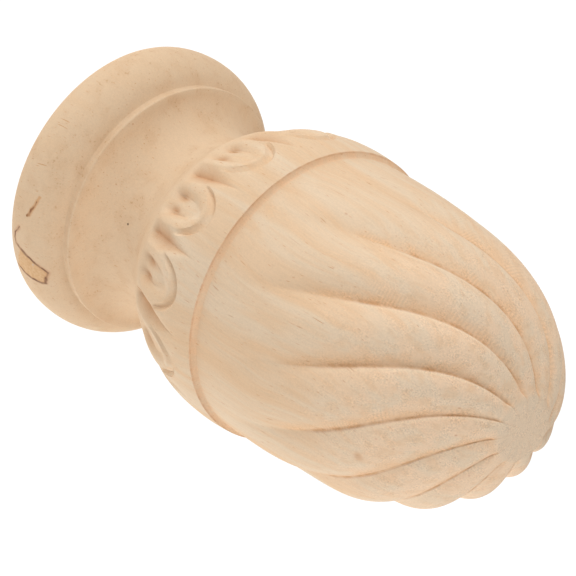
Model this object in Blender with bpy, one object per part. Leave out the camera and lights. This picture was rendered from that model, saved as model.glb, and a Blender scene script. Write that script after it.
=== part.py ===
"""A carved wooden pineapple finial, turned and carved from one block.

A round foot rises through a hollow cove to a narrow neck and a cup. A band of
crescents and darts is carved round the cup. Above the cup's edge an egg-shaped
top is cut into spiral lobes, which run up to a small flat tip.
The finial stands on its underside, with its origin at the centre of that face.
"""
import math

import bmesh
import bpy

# Foot: a rounded rim below a narrow flat band
UNDERSIDE_RADIUS = 0.0360
RIM_RADIUS = 0.0381
RIM_LOWER_HEIGHT = 0.0063
RIM_UPPER_HEIGHT = 0.0093
RIM_TOP_RADIUS = 0.0333
BAND_RADIUS = 0.0331
BAND_HEIGHT = 0.0028

# Cove, neck and flare
NECK_RADIUS = 0.0245
COVE_HEIGHT = 0.0116
FLARE_RADIUS = 0.0290
FLARE_HEIGHT = 0.0100

# Cup
CUP_RADIUS = 0.0389
CUP_WIDEST_HEIGHT = 0.0280
CUP_EDGE_HEIGHT = 0.0056
CUP_EDGE_ROUND = 0.0014

# Lobed top
TOP_RADIUS = 0.0374
TOP_HEIGHT = 0.0764
TIP_RADIUS = 0.0068
TOP_SWELL = 0.0005
TOP_FULLNESS = 3.8
TOP_ROUNDING = 0.65

# Spiral lobes, with a sharp crease between each two
LOBES = 12
CREASE_DEPTH = 0.0026
CREASE_START = 0.0034
CREASE_FADE = 0.0380
CREASE_END = 0.0020
EVEN_TWIST = math.radians(29)
TIP_TWIST = math.radians(35)

# Carved band of the cup, with one crescent and one dart in each bay;
# its heights are counted from the top of the flare
BAYS = 12
BAY_TURN = math.radians(11.2)
CARVING_BASE = 0.0035
CARVING_RUN_OUT = 0.0040
DART_HEIGHT = 0.0225
DART_TAPER = 0.0123
DART_HALF_WIDTH = 0.0037
DART_DEPTH = 0.0022
ARCH_SPRING = 0.0140
ARCH_RISE = 0.0115
ARCH_HALF_WIDTH = 0.0078
ARCH_CUT_DEPTH = 0.0012
CREST_SPRING = 0.0120
CREST_RISE = 0.0104
CREST_HALF_WIDTH = 0.0064
HOLLOW_SPRING = 0.0100
HOLLOW_RISE = 0.0083
HOLLOW_HALF_WIDTH = 0.0030
HOLLOW_DEPTH = 0.0013
PIT_OFFSET = 0.0023
PIT_HALF_WIDTH = 0.0011
PIT_HALF_LENGTH = 0.0026
PIT_HEIGHT = 0.0095
PIT_DEPTH = 0.0010

# Shares that shape the curves
RIM_REACH = 0.96
CUP_REACH = 0.81
CUT_WALL = 0.18
EDGE_REACH = 0.95
SWELL_PEAK = 6.75

# Facets
PLAIN_SIDES = 48
LOBE_FACETS = 8

# Heights where one moulding ends and the next begins
RIM_TOP = RIM_LOWER_HEIGHT + RIM_UPPER_HEIGHT
BAND_TOP = RIM_TOP + BAND_HEIGHT
NECK = BAND_TOP + COVE_HEIGHT
FLARE_TOP = NECK + FLARE_HEIGHT
CUP_WIDEST = FLARE_TOP + CUP_WIDEST_HEIGHT
SEAM = CUP_WIDEST + CUP_EDGE_HEIGHT
TIP = SEAM + TOP_HEIGHT

# Top of the carved band above the flare, just over its darts and arches
CROWN = max(CARVING_BASE + DART_HEIGHT, ARCH_SPRING + ARCH_RISE) + DART_DEPTH / 4

# Directions round the axis: angles are counted from the front, which faces -Y
FRONT = math.radians(-90)
BAY = math.tau / BAYS
LOBE = math.tau / LOBES


def ease(x):
    """Smooth step from 0 to 1."""
    x = min(max(x, 0.0), 1.0)
    return x * x * (3 - 2 * x)


def arc_drop(x):
    """How far a circle of radius 1 has fallen at a distance x from its crown."""
    return 1 - math.sqrt(max(0.0, 1 - x * x))


def rim_radius(height):
    """Rounded rim: a shallow curve below its widest line and a fuller one above."""
    if height < RIM_LOWER_HEIGHT:
        drop = arc_drop(1 - height / RIM_LOWER_HEIGHT)
        return RIM_RADIUS - (RIM_RADIUS - UNDERSIDE_RADIUS) * drop
    drop = arc_drop(RIM_REACH * (height - RIM_LOWER_HEIGHT) / RIM_UPPER_HEIGHT)
    return RIM_RADIUS - (RIM_RADIUS - RIM_TOP_RADIUS) * drop / arc_drop(RIM_REACH)


def cove_radius(height):
    """Hollow quarter curve from the flat band down to the neck."""
    return NECK_RADIUS + (BAND_RADIUS - NECK_RADIUS) * arc_drop((NECK - height) / COVE_HEIGHT)


def cup_radius(height):
    """Long full curve of the cup, widest above the carved band."""
    half_axis = CUP_WIDEST_HEIGHT / CUP_REACH
    depth = (CUP_RADIUS - FLARE_RADIUS) / arc_drop(CUP_REACH)
    return CUP_RADIUS - depth * arc_drop((CUP_WIDEST - height) / half_axis)


def flare_radius(height):
    """Curve from the upright neck to the slope at which the cup begins."""
    rise = 0.01 * CUP_WIDEST_HEIGHT
    slope = (cup_radius(FLARE_TOP + rise) - FLARE_RADIUS) / rise
    x = (height - NECK) / FLARE_HEIGHT
    bend = slope * FLARE_HEIGHT * (x ** 3 - x ** 2)
    return NECK_RADIUS + (FLARE_RADIUS - NECK_RADIUS) * (3 * x ** 2 - 2 * x ** 3) + bend


def top_radius(height):
    """Egg shape of the top, a little swollen above the seam and cut off flat at the tip."""
    tip_share = (TIP_RADIUS / TOP_RADIUS) ** (1 / TOP_ROUNDING)
    reach = (1 - tip_share) ** (1 / TOP_FULLNESS)
    x = (height - SEAM) / TOP_HEIGHT
    egg = TOP_RADIUS * (1 - (reach * x) ** TOP_FULLNESS) ** TOP_ROUNDING
    return egg + TOP_SWELL * SWELL_PEAK * x * (1 - x) ** 2


def twist(height):
    """How far the creases have turned back round the axis at a height."""
    x = (height - SEAM) / TOP_HEIGHT
    return EVEN_TWIST * x + TIP_TWIST * x ** 3


def crease_cut(share, height):
    """Depth below the egg shape at a share of a lobe's half-width from its crest."""
    growth = ease((height - SEAM - CREASE_START) / CREASE_FADE)
    return CREASE_DEPTH * growth * ease((TIP - height) / CREASE_END) * share ** 2


def run_out(height):
    """Share of the carving's depth at a height, which fades out at its foot end."""
    return ease((height - CARVING_BASE) / CARVING_RUN_OUT)


def dart_width(height):
    """Half-width of a dart at a height above the flare; it narrows to a point."""
    share = (CARVING_BASE + DART_HEIGHT - height) / DART_TAPER
    return DART_HALF_WIDTH * min(max(share, 0.0), 1.0)


def dart_cut(offset, height):
    """V-shaped groove of a dart, offset being the distance from its middle line."""
    inside = max(0.0, dart_width(height) - abs(offset)) / DART_HALF_WIDTH
    return DART_DEPTH * inside * run_out(height)


def arch_ratio(offset, height, half_width, spring, rise):
    """Below 1 inside an arch with upright sides and a half-ellipse for a head."""
    return math.hypot(offset / half_width, max(0.0, height - spring) / rise)


def way_in(outer, inner):
    """0 on an outer arch and 1 on or inside an inner one, from the ratios of the two."""
    gap = max(0.0, 1 - outer)
    return gap / (gap + max(0.0, inner - 1) + 1e-9)


def crescent_cut(offset, height):
    """Raised crescent between an outer cut and a hollow with two pits."""
    outer = arch_ratio(offset, height, ARCH_HALF_WIDTH, ARCH_SPRING, ARCH_RISE)
    crest = arch_ratio(offset, height, CREST_HALF_WIDTH, CREST_SPRING, CREST_RISE)
    inner = arch_ratio(offset, height, HOLLOW_HALF_WIDTH, HOLLOW_SPRING, HOLLOW_RISE)
    flank, slope = way_in(outer, crest), way_in(crest, inner)
    cut = ARCH_CUT_DEPTH * ease(2 * (height - ARCH_SPRING) / ARCH_RISE)
    cut *= min(flank / CUT_WALL, (1 - flank) / (1 - CUT_WALL))
    side, along = (abs(offset) - PIT_OFFSET) / PIT_HALF_WIDTH, (height - PIT_HEIGHT) / PIT_HALF_LENGTH
    pit = PIT_DEPTH * math.exp(-side ** 2 - along ** 2)
    return cut + (HOLLOW_DEPTH + pit) * ease(slope) * run_out(height)


def mould_points():
    """Radius and height of each plain ring, from the underside to the carved band."""
    rows = []
    for step in range(7):
        height = RIM_TOP * step / 6
        rows.append((rim_radius(height), height))
    rows.append((BAND_RADIUS, RIM_TOP + 0.1 * BAND_HEIGHT))
    rows.append((BAND_RADIUS, BAND_TOP))
    for step in range(1, 6):
        height = NECK - COVE_HEIGHT * math.cos(math.radians(90) * step / 5)
        rows.append((cove_radius(height), height))
    for step in range(1, 5):
        height = NECK + FLARE_HEIGHT * step / 4
        rows.append((flare_radius(height), height))
    middle = FLARE_TOP + CARVING_BASE / 2
    rows.append((cup_radius(middle), middle))
    return rows


def plain_ring(mesh, radius, height, sides=PLAIN_SIDES):
    """Round ring of vertices, as pairs of angle and vertex."""
    ring = []
    for side in range(sides):
        angle = math.tau * side / sides
        ring.append((angle, add_point(mesh, radius, angle, height)))
    return ring


def add_point(mesh, radius, angle, height):
    """Vertex at an angle from the front."""
    turn = FRONT + angle
    return mesh.verts.new((radius * math.cos(turn), radius * math.sin(turn), height))


def bay_columns(height):
    """Offsets of the facet edges across one bay, from the crescent's middle."""
    half = math.pi * CUP_RADIUS / BAYS
    slope = (PIT_OFFSET + CREST_HALF_WIDTH) / 2
    edge = max((ARCH_HALF_WIDTH + half) / 2, half - max(dart_width(height), DART_HALF_WIDTH / 5))
    marks = sorted([PIT_OFFSET, slope, CREST_HALF_WIDTH, ARCH_HALF_WIDTH, edge])
    return [-x for x in reversed(marks)] + [0.0] + marks + [half]


def arch_height(offset, half_width, spring, rise):
    """Height of an arch's edge over an offset from its middle."""
    return spring + rise * (1 - arc_drop(min(1.0, abs(offset) / half_width)))


def carved_rows(offset):
    """Heights of the facet edges in one column of the carved band, above the flare."""
    inner = arch_height(offset, HOLLOW_HALF_WIDTH, HOLLOW_SPRING, HOLLOW_RISE)
    crest = arch_height(offset, CREST_HALF_WIDTH, CREST_SPRING, CREST_RISE)
    outer = arch_height(offset, ARCH_HALF_WIDTH, ARCH_SPRING, ARCH_RISE)
    rows = [CARVING_BASE + (inner - CARVING_BASE) * step / 5 for step in range(6)]
    rows += [(inner + crest) / 2, crest]
    rows += [outer + (crest - outer) * level for level in (0.5, CUT_WALL, 0.0)]
    rows += [outer + (CROWN - outer) * step / 3 for step in (1, 2, 3)]
    return sorted(rows)


def carved_rings(mesh):
    """Rings of the cup's carved band, whose facet edges follow the carving."""
    count = len(carved_rows(0.0))
    rings = []
    for row in range(count):
        ring = []
        for bay in range(BAYS):
            middle = BAY_TURN + BAY * (bay + 0.5)
            guide = carved_rows(0.0)[row]
            for offset in bay_columns(guide):
                height = carved_rows(offset)[row]
                dart = abs(offset) - math.pi * CUP_RADIUS / BAYS
                depth = crescent_cut(offset, height) + dart_cut(dart, height)
                angle = middle + offset / CUP_RADIUS
                radius = cup_radius(FLARE_TOP + height) - depth
                ring.append((angle, add_point(mesh, radius, angle, FLARE_TOP + height)))
        rings.append(ring)
    return rings


def lobed_ring(mesh, height):
    """Ring of the spiral lobes, whose facet edges follow the creases."""
    ring = []
    for facet in range(LOBES * LOBE_FACETS):
        share = abs(1 - 2 * (facet % LOBE_FACETS) / LOBE_FACETS)
        angle = BAY_TURN + LOBE * facet / LOBE_FACETS - twist(height)
        radius = top_radius(height) - crease_cut(share, height)
        ring.append((angle, add_point(mesh, radius, angle, height)))
    return ring


def join_even(mesh, lower, upper):
    """Faces between two rings with the same number of vertices."""
    count = len(lower)
    for side in range(count):
        after = (side + 1) % count
        mesh.faces.new((lower[side][1], lower[after][1], upper[after][1], upper[side][1]))


def join_uneven(mesh, lower, upper):
    """Triangles between two rings with different numbers of vertices."""
    start = min(range(len(upper)), key=lambda i: abs(math.remainder(upper[i][0] - lower[0][0], math.tau)))
    upper = upper[start:] + upper[:start]
    below = [math.remainder(a - lower[0][0], math.tau) % math.tau for a, vertex in lower] + [math.tau]
    above = [(a - upper[0][0]) % math.tau for a, vertex in upper] + [math.tau]
    low = high = 0
    while low < len(lower) or high < len(upper):
        here = lower[low % len(lower)][1]
        there = upper[high % len(upper)][1]
        if high == len(upper) or (low < len(lower) and below[low + 1] <= above[high + 1]):
            low += 1
            mesh.faces.new((here, lower[low % len(lower)][1], there))
        else:
            high += 1
            mesh.faces.new((here, upper[high % len(upper)][1], there))


def join(mesh, lower, upper):
    """Faces between two neighbouring rings."""
    if len(lower) == len(upper):
        join_even(mesh, lower, upper)
    else:
        join_uneven(mesh, lower, upper)


def cup_edge_rings(mesh):
    """Plain upper part of the cup and its softened edge at the seam."""
    sides = LOBES * LOBE_FACETS
    start = SEAM - CUP_EDGE_ROUND
    middle = (FLARE_TOP + CROWN + start) / 2
    rings = [plain_ring(mesh, cup_radius(middle), middle, sides)]
    deepest = (cup_radius(SEAM) - TOP_RADIUS) / arc_drop(EDGE_REACH)
    for share in (0.0, 0.65, 1.0):
        height = start + CUP_EDGE_ROUND * share
        drop = deepest * arc_drop(EDGE_REACH * share)
        rings.append(plain_ring(mesh, cup_radius(height) - drop, height, sides))
    return rings


def lobed_rings(mesh):
    """Rings of the lobed top, closer together where it rounds in to the tip."""
    count = 16
    first = SEAM + CUP_EDGE_ROUND / 4
    rings = []
    for step in range(count + 1):
        share = 1 - (1 - step / count) ** 1.7
        rings.append(lobed_ring(mesh, first + (TIP - first) * share))
    return rings


def wood_material():
    """Pale bare wood."""
    material = bpy.data.materials.new("bare_wood")
    material.use_nodes = True
    shader = material.node_tree.nodes["Principled BSDF"]
    shader.inputs["Base Color"].default_value = (0.78, 0.60, 0.42, 1)
    shader.inputs["Roughness"].default_value = 0.7
    shader.inputs["Metallic"].default_value = 0.0
    return material


def build_finial():
    """One closed solid, ring by ring from the underside to the tip."""
    mesh = bmesh.new()
    rings = [plain_ring(mesh, radius, height) for radius, height in mould_points()]
    rings += carved_rings(mesh)
    rings += cup_edge_rings(mesh)
    rings += lobed_rings(mesh)
    for lower, upper in zip(rings, rings[1:]):
        join(mesh, lower, upper)
    mesh.faces.new([vertex for angle, vertex in reversed(rings[0])])
    mesh.faces.new([vertex for angle, vertex in rings[-1]])
    bmesh.ops.triangulate(mesh, faces=[face for face in mesh.faces if len(face.verts) == 4])
    data = bpy.data.meshes.new("finial")
    mesh.to_mesh(data)
    mesh.free()
    data.materials.append(wood_material())
    data.shade_smooth()
    data.set_sharp_from_angle(angle=math.radians(35))
    finial = bpy.data.objects.new("finial", data)
    bpy.context.scene.collection.objects.link(finial)
    return finial


for old in list(bpy.data.objects):
    bpy.data.objects.remove(old, do_unlink=True)

build_finial()
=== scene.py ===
import math

import bpy
import numpy as np
from mathutils import Matrix, Vector


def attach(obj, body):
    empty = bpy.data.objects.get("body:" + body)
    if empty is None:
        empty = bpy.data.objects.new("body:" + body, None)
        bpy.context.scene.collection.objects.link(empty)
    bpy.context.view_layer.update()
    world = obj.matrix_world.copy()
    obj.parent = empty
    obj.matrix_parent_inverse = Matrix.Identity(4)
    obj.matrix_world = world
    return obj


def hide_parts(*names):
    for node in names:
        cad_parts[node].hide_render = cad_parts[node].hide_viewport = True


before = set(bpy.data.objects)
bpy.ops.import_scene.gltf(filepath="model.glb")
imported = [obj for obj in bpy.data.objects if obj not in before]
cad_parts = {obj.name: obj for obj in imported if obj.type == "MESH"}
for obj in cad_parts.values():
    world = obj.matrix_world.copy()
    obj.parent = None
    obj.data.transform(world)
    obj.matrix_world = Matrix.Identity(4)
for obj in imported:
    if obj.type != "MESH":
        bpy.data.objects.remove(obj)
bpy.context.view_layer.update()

# Foot: a rounded rim below a narrow flat band (metres)
UNDERSIDE_RADIUS = 0.0360
RIM_RADIUS = 0.0381
RIM_LOWER_HEIGHT = 0.0063
RIM_UPPER_HEIGHT = 0.0093
RIM_TOP_RADIUS = 0.0333
BAND_RADIUS = 0.0331
BAND_HEIGHT = 0.0028

# Cove, neck, flare and cup
NECK_RADIUS = 0.0245
COVE_HEIGHT = 0.0116
FLARE_RADIUS = 0.0290
FLARE_HEIGHT = 0.0100
CUP_RADIUS = 0.0389
CUP_WIDEST_HEIGHT = 0.0280
CUP_EDGE_HEIGHT = 0.0056
CUP_EDGE_SLOPE = 0.0012

# Lobed top, with a lobe to each bay of the carved band
TOP_RADIUS = 0.0374
TOP_HEIGHT = 0.0764
TIP_RADIUS = 0.0068
TIP_DOME = 0.0004
TOP_SWELL = 0.0005
TOP_FULLNESS = 3.8
TOP_ROUNDING = 0.65
CREASE_DEPTH = 0.0026
CREASE_START = 0.0034
CREASE_FADE = 0.0380
CREASE_END = 0.0020
EVEN_TWIST = math.radians(29)
TIP_TWIST = math.radians(35)

# Carved band of the cup; its heights are counted from the top of the flare
BAYS = 12
BAY_TURN = math.radians(11.2)
CARVING_BASE = 0.0035
CARVING_RUN_OUT = 0.0040
DART_HEIGHT = 0.0225
DART_TAPER = 0.0123
DART_HALF_WIDTH = 0.0037
DART_DEPTH = 0.0022
ARCH_SPRING = 0.0140
ARCH_RISE = 0.0115
ARCH_HALF_WIDTH = 0.0078
ARCH_CUT_DEPTH = 0.0012
CREST_SPRING = 0.0120
CREST_RISE = 0.0104
CREST_HALF_WIDTH = 0.0064
HOLLOW_SPRING = 0.0100
HOLLOW_RISE = 0.0083
HOLLOW_HALF_WIDTH = 0.0030
HOLLOW_DEPTH = 0.0013
PIT_OFFSET = 0.0023
PIT_HALF_WIDTH = 0.0011
PIT_HALF_LENGTH = 0.0026
PIT_HEIGHT = 0.0095
PIT_DEPTH = 0.0010

# Shares that shape the curves; the last one brings the swell's greatest value to 1
RIM_REACH = 0.96
CUP_REACH = 0.81
CUT_WALL = 0.28
CREASE_FLOOR = 0.94
SWELL_PEAK = 6.75

# Facets of the fine mesh: columns round the axis, rows along it
COLUMNS_PER_BAY = 48
COLUMNS = BAYS * COLUMNS_PER_BAY
ARCH_COLUMNS = 16
DART_COLUMNS = (3, 5)
RIM_ROWS = 19
RIM_CROWDING = 0.3
COVE_ROWS = 16
FLARE_ROWS = 9
BASE_ROWS = 6
CARVED_ROWS = (16, 9, 6, 2, 8)
LOBE_ROWS = 60
LOBE_CROWDING = 1.5
EDGE_SHARES = (0.03, 0.1, 0.2, 0.35, 0.5, 0.65, 0.8, 1.0)
TIP_SHARES = (0.96, 0.85, 0.6, 0.3)

# Band of the foot: share of its height, and depth there as a share of its height
BAND_HOLLOW = ((0.12, 0.12), (0.3, 0.17), (0.5, 0.12), (0.65, 0.06), (0.8, 0.03), (0.9, 0.05), (0.97, 0.11))

# Heights where one moulding ends and the next begins
RIM_TOP = RIM_LOWER_HEIGHT + RIM_UPPER_HEIGHT
BAND_TOP = RIM_TOP + BAND_HEIGHT
NECK = BAND_TOP + COVE_HEIGHT
FLARE_TOP = NECK + FLARE_HEIGHT
CUP_WIDEST = FLARE_TOP + CUP_WIDEST_HEIGHT
SEAM = CUP_WIDEST + CUP_EDGE_HEIGHT
TIP = SEAM + TOP_HEIGHT

# Edges steeper than this are drawn sharp
SHARP_ANGLE = math.radians(40)

# Directions round the axis: angles are counted from the front, which faces -Y
FRONT = math.radians(-90)
BAY = math.tau / BAYS
HALF_BAY = math.pi * CUP_RADIUS / BAYS

# Camera, placed as the photograph was taken
CAMERA_PLACE = Vector((-0.00002, -1.00712, 0.91213))
CAMERA_RIGHT = Vector((-0.53022, 0.54624, 0.64845))
CAMERA_UP = Vector((-0.84786, -0.34079, -0.40618))
CAMERA_BACK = Vector((-0.00088, -0.76517, 0.64383))
LENS_MM = 334.0
SENSOR_MM = 36.0
NEAREST, FARTHEST = 0.05, 50

# Soft lights: name, azimuth from +X towards +Y, elevation, watts
SOFTBOXES = (("softbox_left", 225, 30, 11.1), ("softbox_right", 14, 27, 11.6), ("softbox_back", 90, 45, 4.2))
SOFTBOX_SIZE = 0.9
SOFTBOX_DISTANCE = 1.5
SKY_STRENGTH = 0.20
FLOOR_HALF_SIZE = 6.0
FLOOR_GREY = 0.1
FLOOR_ROUGHNESS = 0.9
FLOOR_GLOW = 1.0

# Material: its lengths are millimetres
MM = 1000.0
RIDGE_SPACING = 0.8
BEND_CELL = (26, 26, 34)
BEND_REACH = (9.0, 9.0, 0.0)
WANDER_REACH = (0.8, 0.8, 0.0)
WOOD_ROUGHNESS = 0.8
WOOD_SHINE = 0.15
RELIEF_STRENGTH = 0.5
RELIEF_METRES = 0.001
FIBRE_RELIEF = 0.04
PORE_RELIEF = 0.02
RIDGE_LIGHT = 0.05
BARK_SOFTNESS = 0.35

# Heights between which the wood changes, from and to
FOOT_FADE = (46, 38)
UPPER_FADE = (42, 62)
LIGHTER_FADE = (50, 90)
TIP_FADE = (95, 146)
RIDGE_FADE = (98, 108)
END_FADE = (148.9, 149.7)

# Distances from the seam's slope and edge where their painted light and painted shade end and where they are
# full
SLOPE_LIGHT_REACH = (0.95, 0.4)
EDGE_SHADE_REACH = (0.28, 0.08)

# Values of the crease, the shade and the roughness between which a look sets in
WARM_SIDE = (0.45, 1.0)
FUZZY_SIDE = (0.5, 1.0)
LIT_SIDE = (0.3, 0.05)
BESIDE_CREASE = (0.72, 0.90)
IN_CREASE = (0.88, 1.0)
PITTED = (0.3, 0.8)
LINE_BREAKS = (0.30, 0.62)

# Strengths where the wood is smooth or low, and where it is rough or high
FUZZ_LIGHT = (0.14, 0.64)
FUZZ_RELIEF = (0.03, 0.19)
GRAIN_LIGHT = (0.05, 0.15)
PORES_LEFT = (1.0, 0.4)

# Colours as a screen shows them, on a scale to 255
FOOT_PEACH = (231, 200, 165)
TOP_PEACH = (234, 202, 167)

# Tints: such a colour and its strength; of two strengths, the second is higher up or where it is patchy
# painted light: the wood drawn lighter towards the tip, where more light falls from above
TIP_LIT_PEACH = ((246, 215, 183), 1.0)
RING_CREAM = ((234, 213, 186), 0.12, 0.60)
RING_WARM = ((232, 190, 146), 0.10, 0.32)
# painted shade: warm side of each lobe above its crease
LOBE_SHADE = ((238, 188, 138), 0.30, 0.55)
# painted highlight: light ridge beside each crease
LOBE_RIDGE_HIGHLIGHT = ((252, 232, 204), 0.10, 0.45)
# painted shade: brown line in each crease
CREASE_SHADE_BROWN = ((192, 136, 88), 0.20, 0.60)
END_GRAIN = ((236, 212, 184), 0.75)
# painted shade in the carving's pits and dart grooves
HOLLOW_SHADE_BROWN = ((202, 150, 106), 0.7)
# painted light on the slope down to the seam
SEAM_SLOPE_LIGHT = ((246, 200, 158), 0.35, 0.60)
# painted shade on the cup's edge at the seam
SEAM_EDGE_SHADE = ((206, 152, 112), 0.10, 0.40)
FOOT_CLOUD = ((218, 178, 138), 0.30)
FOOT_SPECK = ((194, 144, 96), 0.45)
BARK_INSIDE = ((222, 174, 122), 0.75)
BARK_SPECK = ((240, 206, 164), 0.45)
BARK_HALO = ((204, 144, 106), 0.4)
BARK_LINE = ((98, 58, 44), 0.3, 0.8)
STREAK_WARM = ((212, 152, 98), 0.6)
STREAK_DARK = ((118, 62, 30), 0.3, 0.8)

# Noise: size of its cells across and along the fibres, then its detail
FIBRES = (0.45, 8, 3.0)
STIPPLE = (0.36, 0.5, 1.0)

# Blots: size of the noise's cells, its values where a blot begins and where it is full, then its detail
ROUGH_BLOTS = (2.5, 6, 0.35, 0.65)
RIDGE_BLOTS = (8, 14, 0.5, 0.62)
BROAD_RINGS = (7, 110, 0.42, 0.58)
NARROW_RINGS = (2.2, 60, 0.45, 0.66)
CLOUD_BLOTS = (5, 5, 0.45, 0.70)
SPECK_BLOTS = (0.8, 0.9, 0.62, 0.74, 1.0)
BARK_BLOTS = (0.8, 0.8, 0.35, 0.65)

# Pores: spacing, length, width, share of places that have one, strength, colour
FINE_PORES = (0.8, 1.0, 0.16, 0.9, 0.60, (212, 156, 108))
BOLD_PORES = (1.6, 1.9, 0.20, 0.6, 0.60, (196, 134, 86))
LONG_PORES = (1.5, 4.5, 0.17, 0.7, 0.80, (206, 148, 98))
RED_DOTS = (2.8, 0.7, 0.33, 0.28, 0.42, (192, 116, 66))
TIP_PITS = (0.7, 0.25, 0.22, 0.5, 0.40, (196, 134, 88))

# Marks on the foot's rim: degrees from the front and height, with the widths of their lines
BARK_CORNERS = ((47.6, 5.2), (52.2, 11.0), (55.3, 13.1), (60.9, 12.0), (60.5, 8.0), (57.6, 2.6))
BARK_EDGE = ((38.6, 5.0), (42.1, 3.1), (44.6, 2.7), (46.5, 3.4), (47.6, 5.2), (49.6, 7.8), (52.2, 11.0),
             (55.3, 13.1), (57.7, 12.4), (60.9, 12.0), (61.1, 10.6), (60.5, 8.0), (59.2, 4.9), (57.6, 2.6))
BARK_WIDTHS = (0.25, 0.35, 0.45, 0.6, 0.6, 0.5, 0.35, 0.35, 0.5, 0.6, 0.5, 0.5, 0.5)
HALO_WIDTH = 0.9
STREAK = ((23.0, 10.2), (25.3, 9.7), (27.7, 9.0), (31.3, 8.0), (32.2, 7.4))
STREAK_WIDTHS = (0.6, 0.8, 0.9, 0.7)
STREAK_CORE_WIDTHS = (0.25, 0.45, 0.6)

# Single spots: degrees from the front, radius, height, size, strength, colour
SPOTS = ((20.9, 24.6, 29.2, 0.42, 0.95, (70, 44, 30)), (55, 31.5, 126, 1.8, 0.4, (204, 148, 100)),
         (52.6, 38.0, 9.5, 0.6, 0.6, (214, 204, 196)))


def ease(x):
    """Smooth step from 0 to 1."""
    x = np.clip(x, 0.0, 1.0)
    return x * x * (3 - 2 * x)


def arc_drop(x):
    """How far a circle of radius 1 has fallen at a distance x from its crown."""
    return 1 - np.sqrt(np.maximum(0.0, 1 - x * x))


def rim_radius(height):
    """Rounded rim: a shallow curve below its widest line and a fuller one above."""
    lower = arc_drop(1 - height / RIM_LOWER_HEIGHT) * (RIM_RADIUS - UNDERSIDE_RADIUS)
    upper = arc_drop(RIM_REACH * (height - RIM_LOWER_HEIGHT) / RIM_UPPER_HEIGHT)
    upper = upper * (RIM_RADIUS - RIM_TOP_RADIUS) / arc_drop(RIM_REACH)
    return RIM_RADIUS - np.where(height < RIM_LOWER_HEIGHT, lower, upper)


def cove_radius(height):
    """Hollow quarter curve from the flat band down to the neck."""
    return NECK_RADIUS + (BAND_RADIUS - NECK_RADIUS) * arc_drop((NECK - height) / COVE_HEIGHT)


def cup_radius(height):
    """Long full curve of the cup, widest above the carved band."""
    half_axis = CUP_WIDEST_HEIGHT / CUP_REACH
    depth = (CUP_RADIUS - FLARE_RADIUS) / arc_drop(CUP_REACH)
    return CUP_RADIUS - depth * arc_drop((CUP_WIDEST - height) / half_axis)


def flare_radius(height):
    """Curve from the upright neck to the slope at which the cup begins."""
    rise = 0.01 * CUP_WIDEST_HEIGHT
    slope = (cup_radius(FLARE_TOP + rise) - FLARE_RADIUS) / rise
    x = (height - NECK) / FLARE_HEIGHT
    bend = slope * FLARE_HEIGHT * (x ** 3 - x ** 2)
    return NECK_RADIUS + (FLARE_RADIUS - NECK_RADIUS) * (3 * x ** 2 - 2 * x ** 3) + bend


def top_radius(height):
    """Egg shape of the top, a little swollen above the seam and cut off flat at the tip."""
    tip_share = (TIP_RADIUS / TOP_RADIUS) ** (1 / TOP_ROUNDING)
    reach = (1 - tip_share) ** (1 / TOP_FULLNESS)
    x = (height - SEAM) / TOP_HEIGHT
    egg = TOP_RADIUS * (1 - (reach * x) ** TOP_FULLNESS) ** TOP_ROUNDING
    return egg + TOP_SWELL * SWELL_PEAK * x * (1 - x) ** 2


def twist(height):
    """How far the creases have turned back round the axis at a height."""
    x = (height - SEAM) / TOP_HEIGHT
    return EVEN_TWIST * x + TIP_TWIST * x ** 3


def lobe_share():
    """How far each column is on the way from its lobe's crest to a crease."""
    return np.abs(1 - 2 * (np.arange(COLUMNS) % COLUMNS_PER_BAY) / COLUMNS_PER_BAY)


def crease_growth(height):
    """0 up to the place above the seam where the creases begin, 1 where they are fully grown."""
    return ease((height - SEAM - CREASE_START) / CREASE_FADE)


def crease_cut(share, height):
    """Depth below the egg shape at a share of a lobe's half-width from its crest."""
    growth = crease_growth(height) * ease((TIP - TIP_DOME - height) / CREASE_END)
    floor = np.maximum(0.0, share - CREASE_FLOOR) ** 2 / (1 - CREASE_FLOOR)
    return CREASE_DEPTH * growth * (share ** 2 - floor)


def run_out(height):
    """Share of the carving's depth at a height, which fades out at its foot end."""
    return ease((height - CARVING_BASE) / CARVING_RUN_OUT)


def dart_width(height):
    """Half-width of a dart at a height above the flare; it narrows to a point."""
    return DART_HALF_WIDTH * np.clip((CARVING_BASE + DART_HEIGHT - height) / DART_TAPER, 0.0, 1.0)


def dart_cut(offset, height):
    """V-shaped groove of a dart, offset being the distance from its middle line."""
    inside = np.maximum(0.0, dart_width(height) - np.abs(offset)) / DART_HALF_WIDTH
    return DART_DEPTH * inside * run_out(height)


def arch_ratio(offset, height, half_width, spring, rise):
    """Below 1 inside an arch with upright sides and a half-ellipse for a head."""
    return np.hypot(offset / half_width, np.maximum(0.0, height - spring) / rise)


def way_in(outer, inner):
    """0 on an outer arch and 1 on or inside an inner one, from the ratios of the two."""
    gap = np.maximum(0.0, 1 - outer)
    return gap / (gap + np.maximum(0.0, inner - 1) + 1e-9)


def pit_share(offset, height):
    """1 in the middle of either pit of a crescent, falling off all round."""
    side, along = (np.abs(offset) - PIT_OFFSET) / PIT_HALF_WIDTH, (height - PIT_HEIGHT) / PIT_HALF_LENGTH
    return np.exp(-side ** 2 - along ** 2)


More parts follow.
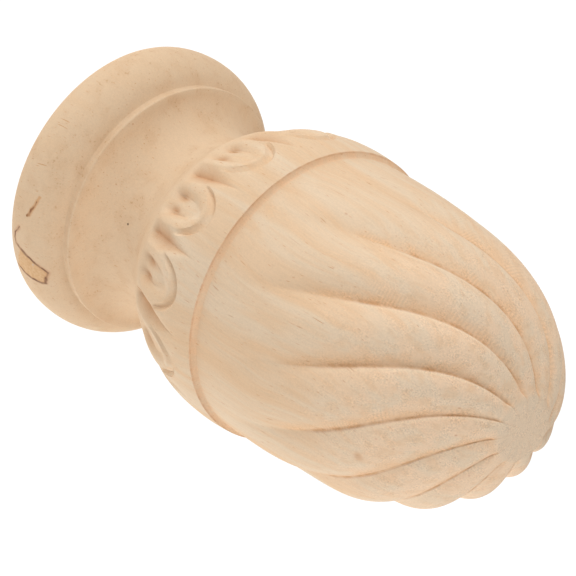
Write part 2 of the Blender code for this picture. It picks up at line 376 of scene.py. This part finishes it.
def crescent_cut(offset, height):
    """Raised crescent between an outer cut and a hollow with two pits."""
    outer = arch_ratio(offset, height, ARCH_HALF_WIDTH, ARCH_SPRING, ARCH_RISE)
    crest = arch_ratio(offset, height, CREST_HALF_WIDTH, CREST_SPRING, CREST_RISE)
    inner = arch_ratio(offset, height, HOLLOW_HALF_WIDTH, HOLLOW_SPRING, HOLLOW_RISE)
    flank, slope = way_in(outer, crest), way_in(crest, inner)
    cut = ARCH_CUT_DEPTH * ease(2 * (height - ARCH_SPRING) / ARCH_RISE)
    cut = cut * np.minimum(flank / CUT_WALL, (1 - flank) / (1 - CUT_WALL))
    hollow = HOLLOW_DEPTH + PIT_DEPTH * pit_share(offset, height)
    return cut + hollow * ease(slope) * run_out(height)


def spread(marks, counts):
    """Values from the first mark to the last, each gap cut into its own number of steps."""
    values = [marks[0]]
    for start, end, count in zip(marks, marks[1:], counts):
        values += [start + (end - start) * step / count for step in range(1, count + 1)]
    return values


def even_columns():
    """Angles of evenly spaced columns, the first on a crease."""
    return BAY_TURN + BAY * np.arange(COLUMNS) / COLUMNS_PER_BAY


def turned_zone(rows):
    """Angles, heights and radii of plain mouldings, from the radius and height of each row."""
    blank = np.zeros((len(rows), COLUMNS))
    radius = np.array([[float(radius)] for radius, height in rows]) + blank
    height = np.array([[float(height)] for radius, height in rows]) + blank
    return even_columns()[None, :] + blank, height, radius


def plain_rows():
    """Radius and height of each row of the plain mouldings below the carved band."""
    rows = []
    for x in np.linspace(0, 1, RIM_ROWS):
        crowded = 0.5 - 0.5 * math.cos(math.pi * x)
        height = RIM_TOP * (RIM_CROWDING * crowded + (1 - RIM_CROWDING) * x)
        rows.append((rim_radius(height), height))
    for x, sunk in BAND_HOLLOW:
        rows.append((BAND_RADIUS - BAND_HEIGHT * sunk, RIM_TOP + BAND_HEIGHT * x))
    for x in np.linspace(0, 1, COVE_ROWS)[2:]:
        height = NECK - COVE_HEIGHT * math.cos(math.radians(90) * x)
        rows.append((cove_radius(height), height))
    for x in np.linspace(0, 1, FLARE_ROWS)[1:]:
        height = NECK + FLARE_HEIGHT * x
        rows.append((flare_radius(height), height))
    for x in np.linspace(0, 1, BASE_ROWS)[1:-1]:
        height = FLARE_TOP + CARVING_BASE * x
        rows.append((cup_radius(height), height))
    return rows


def edge_rows():
    """Rows of the cup's plain upper part, its crisp edge and the slope down to the seam."""
    low = FLARE_TOP + CARVING_BASE + DART_HEIGHT + DART_DEPTH
    edge = SEAM - CUP_EDGE_SLOPE
    rows = [(cup_radius(height), height) for height in np.linspace(low, edge, BASE_ROWS)[1:]]
    drop = cup_radius(edge) - TOP_RADIUS
    return rows + [(TOP_RADIUS + drop * (1 - x) ** 2, edge + CUP_EDGE_SLOPE * x) for x in EDGE_SHARES]


def bay_offsets(height):
    """Offsets of one bay's columns from the crescent's middle, at a height above the flare."""
    turns = np.linspace(0, math.pi / 2, ARCH_COLUMNS + 1)
    half = list(ARCH_HALF_WIDTH * np.sin(turns))
    edge = HALF_BAY - max(float(dart_width(height)), DART_HALF_WIDTH / 5)
    edge = max(edge, 0.9 * ARCH_HALF_WIDTH + 0.1 * HALF_BAY)
    half += spread([ARCH_HALF_WIDTH, edge, HALF_BAY], DART_COLUMNS)[1:]
    return np.array([-x for x in reversed(half)] + half[1:-1])


def arch_height(offset, half_width, spring, rise):
    """Height of an arch's edge over an offset from its middle."""
    return spring + rise * (1 - arc_drop(np.minimum(1.0, np.abs(offset) / half_width)))


def carved_heights(offset):
    """Heights of the rows in one column of the carved band, above the flare."""
    inner = float(arch_height(offset, HOLLOW_HALF_WIDTH, HOLLOW_SPRING, HOLLOW_RISE))
    crest = float(arch_height(offset, CREST_HALF_WIDTH, CREST_SPRING, CREST_RISE))
    outer = float(arch_height(offset, ARCH_HALF_WIDTH, ARCH_SPRING, ARCH_RISE))
    crown = CARVING_BASE + DART_HEIGHT + DART_DEPTH
    wall = outer + (crest - outer) * CUT_WALL
    return spread([CARVING_BASE, inner, crest, wall, outer, crown], CARVED_ROWS)


def carved_zone():
    """Angles, heights and radii of the cup's carved band, with columns along its edges."""
    guide = carved_heights(0.0)
    angle = np.zeros((len(guide), COLUMNS))
    height = np.zeros_like(angle)
    radius = np.zeros_like(angle)
    for row, level in enumerate(guide):
        offsets = bay_offsets(level)
        heights = np.array([carved_heights(x)[row] for x in offsets])
        darts = np.abs(offsets) - HALF_BAY
        depth = crescent_cut(offsets, heights) + dart_cut(darts, heights)
        place = cup_radius(FLARE_TOP + heights) - depth
        for bay in range(BAYS):
            part = slice(bay * COLUMNS_PER_BAY, (bay + 1) * COLUMNS_PER_BAY)
            angle[row, part] = BAY_TURN + BAY * (bay + 0.5) + offsets / CUP_RADIUS
            height[row, part] = FLARE_TOP + heights
            radius[row, part] = place
    return angle, height, radius


def lobed_zone():
    """Angles, heights and radii of the lobed top, with columns along its creases."""
    first = SEAM + CUP_EDGE_SLOPE / 8
    steps = 1 - (1 - np.linspace(0, 1, LOBE_ROWS)) ** LOBE_CROWDING
    height = (first + (TIP - TIP_DOME - first) * steps)[:, None] + np.zeros((1, COLUMNS))
    radius = top_radius(height) - crease_cut(lobe_share()[None, :], height)
    return even_columns()[None, :] - twist(height), height, radius


def tip_zone():
    """Angles, heights and radii of the tip's low dome, short of its summit."""
    share = np.array(TIP_SHARES)[:, None] + np.zeros((1, COLUMNS))
    height = TIP - TIP_DOME * share ** 2
    return even_columns()[None, :] - twist(height), height, share * top_radius(TIP - TIP_DOME)


def finial_points():
    """Vertex grid of the whole surface, and what the material reads at each vertex.

    crease is 1 in a crease, shade is 1 there and on the lobe's side that lies in shade,
    and hollow is 1 in the deepest parts of the carving.
    """
    zones = [turned_zone(plain_rows()), carved_zone(), turned_zone(edge_rows()), lobed_zone(), tip_zone()]
    angle, height, radius = (np.concatenate([zone[part] for zone in zones]) for part in range(3))
    growth, share = crease_growth(height), lobe_share()
    place = np.arange(COLUMNS) % COLUMNS_PER_BAY
    shaded = np.where(place < COLUMNS_PER_BAY / 2, np.maximum(0.0, 1 - place / 2), share)

    offset = ((angle - BAY_TURN) % BAY - BAY / 2) * CUP_RADIUS
    level = height - FLARE_TOP
    dart = dart_cut(np.abs(offset) - HALF_BAY, level) / DART_DEPTH
    hollow = np.maximum(pit_share(offset, level), dart ** 1.5)

    grid = np.stack([radius * np.cos(FRONT + angle), radius * np.sin(FRONT + angle), height], -1)
    return grid, {"crease": share * growth, "shade": shaded * growth, "hollow": hollow}


def build_finial():
    """One closed fine mesh of the finial."""
    grid, marks = finial_points()
    rows, columns = grid.shape[:2]
    faces = []
    for row in range(rows - 1):
        low, high = row * columns, (row + 1) * columns
        for column in range(columns):
            after = (column + 1) % columns
            faces.append((low + column, low + after, high + after, high + column))
    faces.append(tuple(reversed(range(columns))))
    last, summit = (rows - 1) * columns, rows * columns
    faces += [(last + column, last + (column + 1) % columns, summit) for column in range(columns)]
    points = np.vstack([grid.reshape(-1, 3), [[0.0, 0.0, TIP]]])
    mesh = bpy.data.meshes.new("carved_finial")
    mesh.from_pydata([tuple(point) for point in points], [], faces)
    for name, values in marks.items():
        mark = mesh.attributes.new(name, "FLOAT", "POINT")
        mark.data.foreach_set("value", np.append(values.reshape(-1), 0.0).astype(np.float32))
    mesh.shade_smooth()
    mesh.set_sharp_from_angle(angle=SHARP_ANGLE)
    piece = bpy.data.objects.new("carved_finial", mesh)
    bpy.context.scene.collection.objects.link(piece)
    return piece


def paint(red, green, blue):
    """Colour as a screen shows it, on a scale to 255, in the linear values of a shader."""
    parts = [value / 255 for value in (red, green, blue)]
    return [x / 12.92 if x < 0.04045 else ((x + 0.055) / 1.055) ** 2.4 for x in parts] + [1.0]


class Wood:
    """Builds the wood's shader tree; lengths in it are millimetres."""

    def __init__(self, tree):
        self.tree = tree
        metres = self.node("ShaderNodeTexCoord", {}).outputs["Object"]
        self.place = self.move("MULTIPLY", metres, (MM, MM, MM))
        x, y, self.z = self.node("ShaderNodeSeparateXYZ", {"Vector": self.place}).outputs
        turn = self.calc("ARCTAN2", x, self.calc("MULTIPLY", y, -1.0))
        along_rim = self.calc("MULTIPLY", turn, RIM_RADIUS * MM)
        self.unrolled = self.node("ShaderNodeCombineXYZ", {"X": along_rim, "Y": self.z}).outputs[0]
        self.upper = self.step(self.z, *UPPER_FADE)
        self.tip = self.step(self.z, *TIP_FADE)

        # the fibres run along the axis, with slow bends
        slow = self.move("DIVIDE", self.place, BEND_CELL)
        waves = self.node("ShaderNodeTexNoise", {"Vector": slow, "Scale": 1.0, "Detail": 1.0})
        bend = self.move("SUBTRACT", waves.outputs["Color"], (0.5, 0.5, 0.5))
        self.bent = self.move("ADD", self.place, self.move("MULTIPLY", bend, BEND_REACH))

        # marks of the mesh, and patches with more fuzz than the rest
        self.crease, self.shade, self.hollow = (
            self.node("ShaderNodeAttribute", {}, attribute_name=name).outputs["Fac"]
            for name in ("crease", "shade", "hollow"))
        self.patchy = self.blots(self.place, *ROUGH_BLOTS)
        fuzzy = self.calc("MAXIMUM", self.tip, self.step(self.shade, *FUZZY_SIDE))
        self.rough = self.product(fuzzy, self.patchy)

    def node(self, kind, values, **settings):
        """New node, its inputs linked to a socket or set to a constant."""
        made = self.tree.nodes.new(kind)
        for name, value in settings.items():
            setattr(made, name, value)
        for key, value in values.items():
            if isinstance(value, bpy.types.NodeSocket):
                self.tree.links.new(value, made.inputs[key])
            else:
                made.inputs[key].default_value = value
        return made

    def calc(self, operation, *values):
        """Result of one arithmetic node."""
        return self.node("ShaderNodeMath", dict(enumerate(values)), operation=operation).outputs[0]

    def product(self, first, *others):
        """Product of several values."""
        for value in others:
            first = self.calc("MULTIPLY", first, value)
        return first

    def between(self, share, low, high):
        """Value from low, where the share is 0, to high, where it is 1."""
        return self.calc("MULTIPLY_ADD", share, high - low, low)

    def near_height(self, middle, outside, inside):
        """1 within a distance inside of a height, 0 beyond a distance outside."""
        away = self.calc("ABSOLUTE", self.calc("SUBTRACT", self.z, middle))
        return self.step(away, outside, inside)

    def move(self, operation, *values):
        """Vector result of one vector node."""
        made = self.node("ShaderNodeVectorMath", dict(enumerate(values)), operation=operation)
        return made.outputs["Vector"]

    def dot(self, first, second):
        """How far one vector reaches along another."""
        made = self.node("ShaderNodeVectorMath", {0: first, 1: second}, operation="DOT_PRODUCT")
        return made.outputs["Value"]

    def length(self, value):
        """Length of a vector."""
        return self.node("ShaderNodeVectorMath", {0: value}, operation="LENGTH").outputs["Value"]

    def step(self, value, low, high):
        """0 at low and 1 at high, soft between; high may be the smaller one."""
        start, end, first, last = (low, high, 0.0, 1.0) if low < high else (high, low, 1.0, 0.0)
        made = self.node("ShaderNodeMapRange", {"Value": value, "From Min": start, "From Max": end,
                                                "To Min": first, "To Max": last},
                         interpolation_type="SMOOTHSTEP")
        return made.outputs["Result"]

    def noise(self, place, across, along, detail=2.0):
        """Noise with cells of a width across the fibres and a length along them."""
        scaled = self.move("MULTIPLY", place, (1 / across, 1 / across, 1 / along))
        made = self.node("ShaderNodeTexNoise", {"Vector": scaled, "Scale": 1.0, "Detail": detail,
                                                "Roughness": 0.55})
        return made.outputs["Fac"]

    def blots(self, place, across, along, start, full, detail=2.0):
        """Soft-edged blots of noise: 0 up to a start value of the noise, 1 from a full one."""
        return self.step(self.noise(place, across, along, detail), start, full)

    def dashes(self, place, spacing, length, width, share):
        """Short pores along the fibres; share is the part of the cells that has one."""
        stretch = length / width
        scaled = self.move("MULTIPLY", place, (1 / spacing, 1 / spacing, 1 / (spacing * stretch)))
        cell = self.node("ShaderNodeTexVoronoi", {"Vector": scaled, "Scale": 1.0, "Randomness": 1.0})
        near = self.step(cell.outputs["Distance"], width / spacing, 0.35 * width / spacing)
        chosen = self.node("ShaderNodeSeparateColor", {"Color": cell.outputs["Color"]})
        kept = self.step(chosen.outputs[0], share + 0.05, share - 0.05)
        return self.product(near, kept, self.between(chosen.outputs[1], 0.2, 1.0))

    def mix(self, share, first, second):
        """Colour between two colours."""
        made = self.node("ShaderNodeMix", {"Factor": share}, data_type="RGBA")
        for key, value in ((6, first), (7, second)):
            if isinstance(value, bpy.types.NodeSocket):
                self.tree.links.new(value, made.inputs[key])
            else:
                made.inputs[key].default_value = value
        return made.outputs[2]

    def tint(self, colour, tint, *shares, by=None):
        """Colour drawn towards a tint by the product of the shares and the tint's strength.

        A tint with two strengths goes from the first to the second with the value by.
        """
        tone, *strength = tint
        if by is not None:
            strength = [self.between(by, *strength)]
        return self.mix(self.product(*shares, *strength), colour, paint(*tone))

    def stroke(self, place, start, end, width):
        """Line from one point of the foot's surface to another."""
        along = (end[0] - start[0], end[1] - start[1], 0.0)
        square = along[0] ** 2 + along[1] ** 2
        from_start = self.move("SUBTRACT", place, (start[0], start[1], 0.0))
        share = self.calc("DIVIDE", self.dot(from_start, along), square)
        share = self.node("ShaderNodeClamp", {"Value": share}).outputs[0]
        made = self.node("ShaderNodeVectorMath", {0: along, "Scale": share}, operation="SCALE")
        away = self.length(self.move("SUBTRACT", from_start, made.outputs["Vector"]))
        return self.step(away, width, 0.25 * width)

    def line(self, place, points, widths):
        """Line through several points, each stretch with its own width."""
        total = 0.0
        for start, end, width in zip(points, points[1:], widths):
            total = self.calc("MAXIMUM", total, self.stroke(place, start, end, width))
        return total

    def patch(self, place, corners, soft):
        """Area inside a ring of corners that runs one way round without a hollow."""
        total = 1.0
        for start, end in zip(corners, corners[1:] + corners[:1]):
            along = (end[0] - start[0], end[1] - start[1])
            size = math.hypot(*along)
            inward = (along[1] / size, -along[0] / size, 0.0)
            depth = self.dot(self.move("SUBTRACT", place, (start[0], start[1], 0.0)), inward)
            total = self.calc("MULTIPLY", total, self.step(depth, -soft, soft))
        return total


def foot_point(angle, height):
    """Point of the foot's surface, from degrees and millimetres, on the unrolled rim."""
    return (math.radians(angle) * RIM_RADIUS * MM, height)


def surface_point(angle, radius, height):
    """Point in space from degrees and millimetres."""
    turn = FRONT + math.radians(angle)
    return (radius * math.cos(turn), radius * math.sin(turn), height)


def ring_colours(wood):
    """Even peach, lighter upwards, with painted light that makes the tip lighter still, and soft bands of the
    growth rings on the top.
    """
    colour = wood.mix(wood.step(wood.z, *LIGHTER_FADE), paint(*FOOT_PEACH), paint(*TOP_PEACH))
    # painted light: lighter towards the tip
    colour = wood.tint(colour, TIP_LIT_PEACH, wood.tip)
    colour = wood.tint(colour, RING_CREAM, wood.blots(wood.bent, *BROAD_RINGS), by=wood.upper)
    return wood.tint(colour, RING_WARM, wood.blots(wood.bent, *NARROW_RINGS), by=wood.upper)


def lobe_tints(wood, colour):
    """Painted shade as a warm side above each crease, a painted highlight on the ridge below it, painted
    shade as a brown line in it, greyish tip.
    """
    beside, lit = wood.step(wood.crease, *BESIDE_CREASE), wood.step(wood.shade, *LIT_SIDE)
    # painted shade on the side of each lobe above its crease
    colour = wood.tint(colour, LOBE_SHADE, wood.step(wood.shade, *WARM_SIDE), by=wood.patchy)
    # painted highlight on the ridge beside each crease
    colour = wood.tint(colour, LOBE_RIDGE_HIGHLIGHT, beside, lit, by=wood.tip)
    # painted shade: a brown line in each crease
    colour = wood.tint(colour, CREASE_SHADE_BROWN, wood.step(wood.crease, *IN_CREASE), by=wood.patchy)
    return wood.tint(colour, END_GRAIN, wood.step(wood.z, *END_FADE))


def cup_tints(wood, colour):
    """Painted shade in the carving's hollows, and at the seam painted light on the warm slope and painted
    shade on its darker edge.
    """
    slope = wood.near_height((SEAM - CUP_EDGE_SLOPE / 2) * MM, *SLOPE_LIGHT_REACH)
    edge = wood.near_height((SEAM - CUP_EDGE_SLOPE) * MM, *EDGE_SHADE_REACH)
    # painted shade in the pits and dart grooves
    colour = wood.tint(colour, HOLLOW_SHADE_BROWN, wood.hollow)
    # painted light on the slope down to the seam
    colour = wood.tint(colour, SEAM_SLOPE_LIGHT, slope, by=wood.patchy)
    # painted shade on the cup's edge at the seam
    return wood.tint(colour, SEAM_EDGE_SHADE, edge, by=wood.patchy)


def foot_tints(wood, colour):
    """Darker clouds and brown specks on the foot."""
    cloud = wood.product(wood.blots(wood.place, *CLOUD_BLOTS), wood.step(wood.z, *FOOT_FADE))
    colour = wood.tint(colour, FOOT_CLOUD, cloud)
    return wood.tint(colour, FOOT_SPECK, wood.blots(wood.place, *SPECK_BLOTS), cloud)


def fibre_light(wood, colour, fibre, stipple):
    """Lighter and darker fibres, fuzz that grows towards the tip, and painted light and shade of faint tool
    ridge marks across.
    """
    fuzz = wood.product(wood.calc("SUBTRACT", stipple, 0.5), wood.between(wood.rough, *FUZZ_LIGHT))
    grain = wood.product(wood.calc("SUBTRACT", fibre, 0.5), wood.between(wood.upper, *GRAIN_LIGHT))
    # painted light and shade of fine tool ridge marks, on the shaded side of the creases
    waves = wood.calc("SINE", wood.calc("MULTIPLY", wood.z, math.tau / RIDGE_SPACING))
    ridged = wood.blots(wood.place, *RIDGE_BLOTS)
    ridge_shading = wood.product(waves, ridged, wood.step(wood.z, *RIDGE_FADE), wood.shade, RIDGE_LIGHT)
    light = wood.calc("ADD", wood.calc("ADD", 1.0, ridge_shading), wood.calc("ADD", fuzz, grain))
    return wood.node("ShaderNodeVectorMath", {0: colour, "Scale": light}, operation="SCALE").outputs["Vector"]


def pore_tints(wood, colour):
    """Fine pores all over, bolder and longer ones, reddish dots, and pits in the fuzz."""
    left, pitted = wood.between(wood.tip, *PORES_LEFT), wood.step(wood.rough, *PITTED)
    for row, place, shares in ((FINE_PORES, wood.bent, [left]), (BOLD_PORES, wood.bent, [left]),
                               (LONG_PORES, wood.bent, [left]), (RED_DOTS, wood.bent, []),
                               (TIP_PITS, wood.place, [pitted])):
        *shape, strength, tone = row
        colour = wood.tint(colour, (tone, strength), wood.dashes(place, *shape), *shares)
    return colour


def bark_marks(wood, colour):
    """Bark pocket and streak in the foot's rim."""
    wander = wood.node("ShaderNodeTexNoise", {"Vector": wood.unrolled, "Scale": 0.5, "Detail": 1.0})
    shift = wood.move("SUBTRACT", wander.outputs["Color"], (0.5, 0.5, 0.5))
    rim = wood.move("ADD", wood.unrolled, wood.move("MULTIPLY", shift, WANDER_REACH))
    unbroken = wood.step(wander.outputs["Fac"], *LINE_BREAKS)
    corners, edge, streak = ([foot_point(*point) for point in points]
                             for points in (BARK_CORNERS, BARK_EDGE, STREAK))

    inside = wood.patch(rim, corners, BARK_SOFTNESS)
    halo = wood.line(rim, edge, [HALO_WIDTH] * len(BARK_WIDTHS))
    colour = wood.tint(colour, BARK_INSIDE, inside)
    colour = wood.tint(colour, BARK_SPECK, inside, wood.blots(rim, *BARK_BLOTS))
    colour = wood.tint(colour, BARK_HALO, halo)
    colour = wood.tint(colour, BARK_LINE, wood.line(rim, edge, BARK_WIDTHS), by=unbroken)
    colour = wood.tint(colour, STREAK_WARM, wood.line(rim, streak, STREAK_WIDTHS))
    core = wood.line(rim, streak[1:], STREAK_CORE_WIDTHS)
    return wood.tint(colour, STREAK_DARK, core, by=unbroken)


def spot_tints(wood, colour):
    """Single spots placed one by one."""
    for angle, radius, height, size, strength, tone in SPOTS:
        away = wood.length(wood.move("SUBTRACT", wood.place, surface_point(angle, radius, height)))
        colour = wood.tint(colour, (tone, strength), wood.step(away, size, 0.3 * size))
    return colour


def wood_material():
    """Pale bare wood, its fibres along the axis, with a bark pocket in the foot."""
    material = bpy.data.materials.new("bare_wood")
    material.use_nodes = True
    tree = material.node_tree
    shader = tree.nodes["Principled BSDF"]
    wood = Wood(tree)
    fibre = wood.noise(wood.bent, *FIBRES)
    stipple = wood.noise(wood.place, *STIPPLE)
    colour = ring_colours(wood)
    for tints in (lobe_tints, cup_tints, foot_tints):
        colour = tints(wood, colour)
    colour = fibre_light(wood, colour, fibre, stipple)
    for tints in (pore_tints, bark_marks, spot_tints):
        colour = tints(wood, colour)
    tree.links.new(colour, shader.inputs["Base Color"])
    shader.inputs["Roughness"].default_value = WOOD_ROUGHNESS
    shader.inputs["Specular IOR Level"].default_value = WOOD_SHINE

    # relief of fuzz, fibres and pores
    height = wood.product(stipple, wood.between(wood.rough, *FUZZ_RELIEF))
    height = wood.calc("ADD", height, wood.calc("MULTIPLY", fibre, FIBRE_RELIEF))
    bold = wood.dashes(wood.bent, *BOLD_PORES[:4])
    height = wood.calc("SUBTRACT", height, wood.calc("MULTIPLY", bold, PORE_RELIEF))
    bump = wood.node("ShaderNodeBump", {"Height": height, "Strength": RELIEF_STRENGTH,
                                        "Distance": RELIEF_METRES})
    tree.links.new(bump.outputs["Normal"], shader.inputs["Normal"])
    return material


def build_floor():
    """Plain white floor under the foot."""
    mesh = bpy.data.meshes.new("floor")
    size = FLOOR_HALF_SIZE
    corners = [(-size, -size, 0), (size, -size, 0), (size, size, 0), (-size, size, 0)]
    mesh.from_pydata(corners, [], [(0, 1, 2, 3)])
    floor = bpy.data.objects.new("floor", mesh)
    bpy.context.scene.collection.objects.link(floor)
    material = bpy.data.materials.new("white_floor")
    material.use_nodes = True
    shader = material.node_tree.nodes["Principled BSDF"]
    shader.inputs["Base Color"].default_value = (FLOOR_GREY, FLOOR_GREY, FLOOR_GREY, 1)
    shader.inputs["Roughness"].default_value = FLOOR_ROUGHNESS
    shader.inputs["Specular IOR Level"].default_value = 0.0
    shader.inputs["Emission Color"].default_value = (1, 1, 1, 1)
    shader.inputs["Emission Strength"].default_value = FLOOR_GLOW
    mesh.materials.append(material)


def build_camera():
    """Camera at the photograph's angle."""
    data = bpy.data.cameras.new("camera")
    data.lens = LENS_MM
    data.sensor_width = SENSOR_MM
    data.clip_start = NEAREST
    data.clip_end = FARTHEST
    camera = bpy.data.objects.new("camera", data)
    turn = Matrix((CAMERA_RIGHT, CAMERA_UP, CAMERA_BACK)).transposed()
    camera.matrix_world = Matrix.Translation(CAMERA_PLACE) @ turn.to_4x4()
    bpy.context.scene.collection.objects.link(camera)
    bpy.context.scene.camera = camera


def build_softbox(name, azimuth, elevation, power):
    """Square soft light aimed at the finial."""
    data = bpy.data.lights.new(name, "AREA")
    data.shape = "SQUARE"
    data.size = SOFTBOX_SIZE
    data.energy = power
    softbox = bpy.data.objects.new(name, data)
    turn, rise = math.radians(azimuth), math.radians(elevation)
    aim = Vector((math.cos(turn) * math.cos(rise), math.sin(turn) * math.cos(rise), math.sin(rise)))
    facing = aim.to_track_quat("Z", "Y").to_matrix().to_4x4()
    softbox.matrix_world = Matrix.Translation(Vector((0, 0, TIP / 2)) + aim * SOFTBOX_DISTANCE) @ facing
    bpy.context.scene.collection.objects.link(softbox)


def build_light():
    """Two large softboxes, a weaker one behind, and a little light from all round."""
    world = bpy.data.worlds.new("studio")
    world.use_nodes = True
    world.node_tree.nodes["Background"].inputs["Color"].default_value = (1, 1, 1, 1)
    world.node_tree.nodes["Background"].inputs["Strength"].default_value = SKY_STRENGTH
    bpy.context.scene.world = world
    for softbox in SOFTBOXES:
        build_softbox(*softbox)


bpy.context.scene.view_settings.view_transform = "Standard"
build_camera()
build_light()
build_floor()
finial = build_finial()
finial.data.materials.append(wood_material())
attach(finial, "root")
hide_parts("finial")
